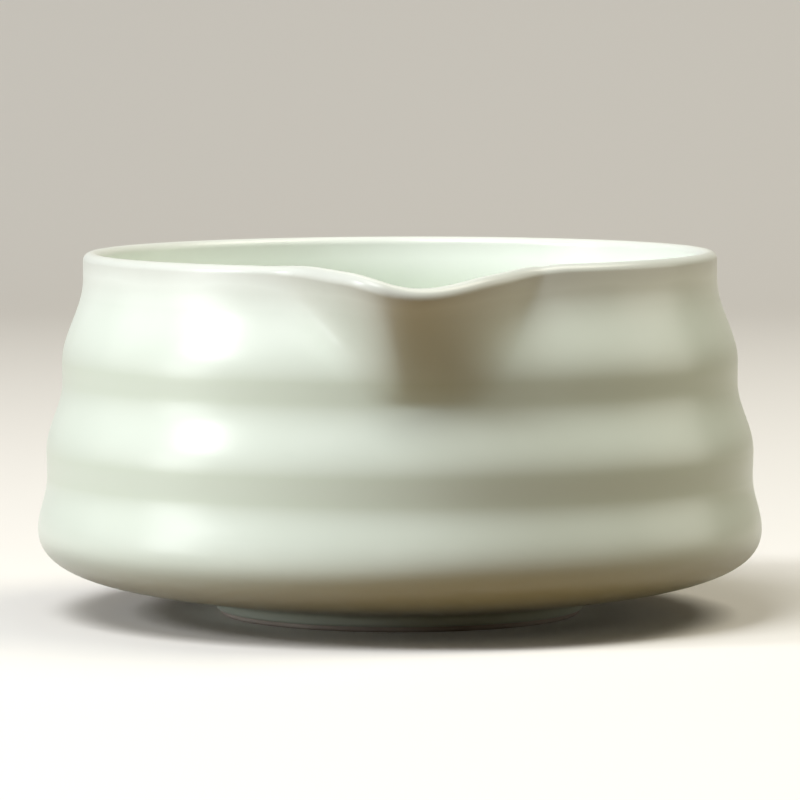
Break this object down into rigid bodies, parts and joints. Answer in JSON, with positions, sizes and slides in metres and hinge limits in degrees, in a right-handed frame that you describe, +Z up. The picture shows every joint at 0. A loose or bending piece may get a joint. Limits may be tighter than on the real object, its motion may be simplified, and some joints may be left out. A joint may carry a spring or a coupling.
{
  "type": "tea bowl",
  "caption": "Wide footed tea bowl with three swells up its wall, a pulled pouring lip on the rim, and a pale green glaze outside and in.",
  "frame": {"origin": "under the middle of the outline, lip included, in the plane that the foot ring stands on; the axis the bowl is turned on stands 2.55 mm behind it", "axes": "+Z up, -Y towards the pouring lip, +X to the right as seen from the lip's side"},
  "size_m": [0.1248, 0.1301, 0.063],
  "materials": {
    "porcelain": "fired porcelain body, covered by glaze",
    "bare_foot": "bare fired porcelain, ground smooth where it stands",
    "outside_celadon": "pale celadon glaze, satin gloss, white at the rim",
    "inside_celadon": "pale celadon glaze, a little greener where it lies thick",
    "well_celadon": "pale celadon glaze, thin and even"
  },
  "bodies": {
    "root": {"porcelain_bowl": "porcelain", "foot_ring": "bare_foot", "outside_glaze": "outside_celadon", "inside_glaze": "inside_celadon", "foot_well_glaze": "well_celadon"}
  },
  "joints": []
}
